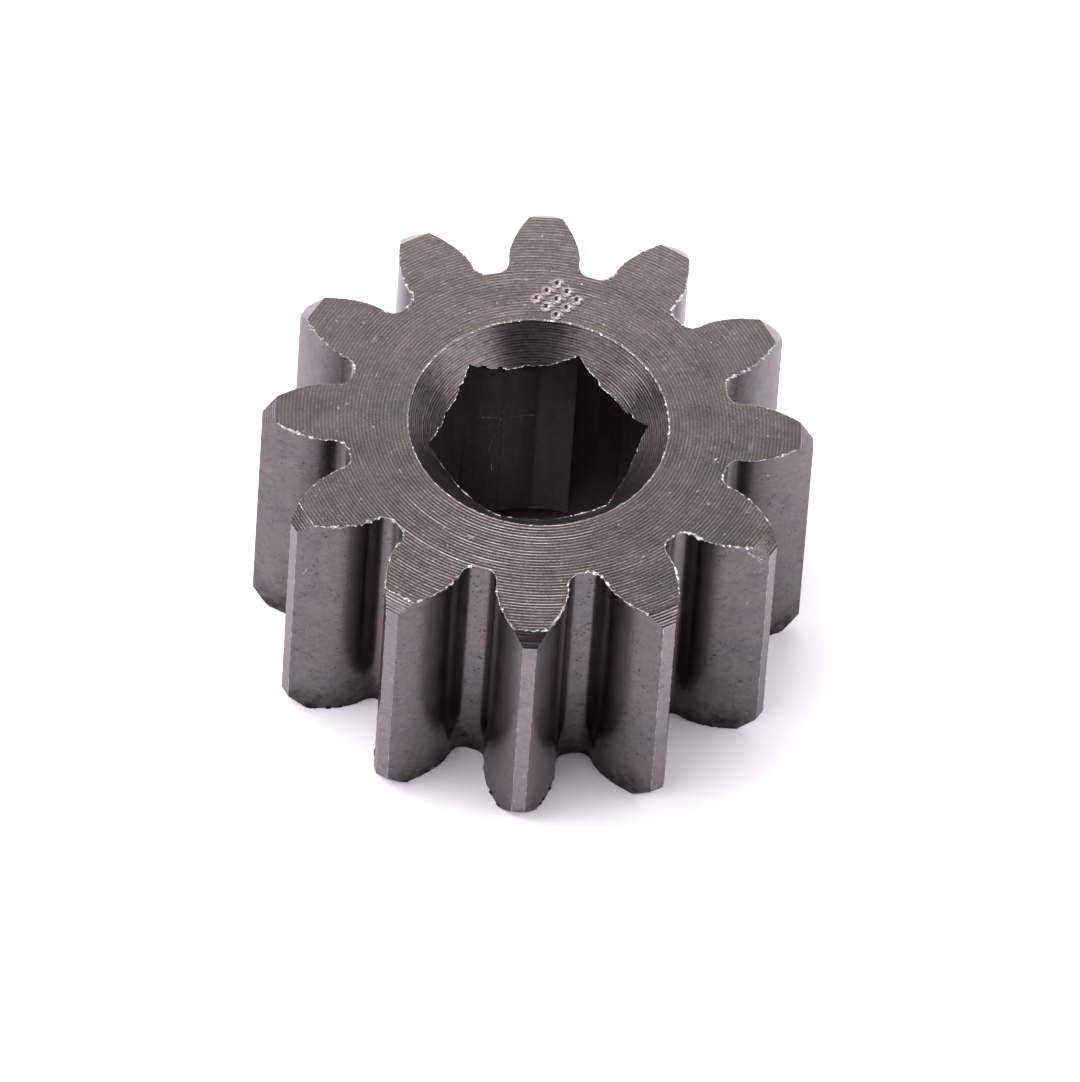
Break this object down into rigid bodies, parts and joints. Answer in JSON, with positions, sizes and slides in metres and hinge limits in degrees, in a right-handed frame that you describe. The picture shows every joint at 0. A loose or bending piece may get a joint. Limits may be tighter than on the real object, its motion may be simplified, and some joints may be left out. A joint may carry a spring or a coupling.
{
  "type": "sun gear",
  "caption": "Solid steel spur sun gear with chamfered tooth tips and a countersunk hexagonal bore, for a planetary gear train.",
  "frame": {"origin": "centre of the lower end face, on the axis of the bore", "axes": "+Z along the bore, from the lower end face to the upper; +X through the middle of a tooth"},
  "size_m": [0.037, 0.037, 0.0199],
  "materials": {
    "steel": "bare machined steel: ends faced in fine concentric turning lines, hobbed flanks smooth and matt"
  },
  "bodies": {
    "root": {"sun_gear": "steel"}
  },
  "joints": []
}
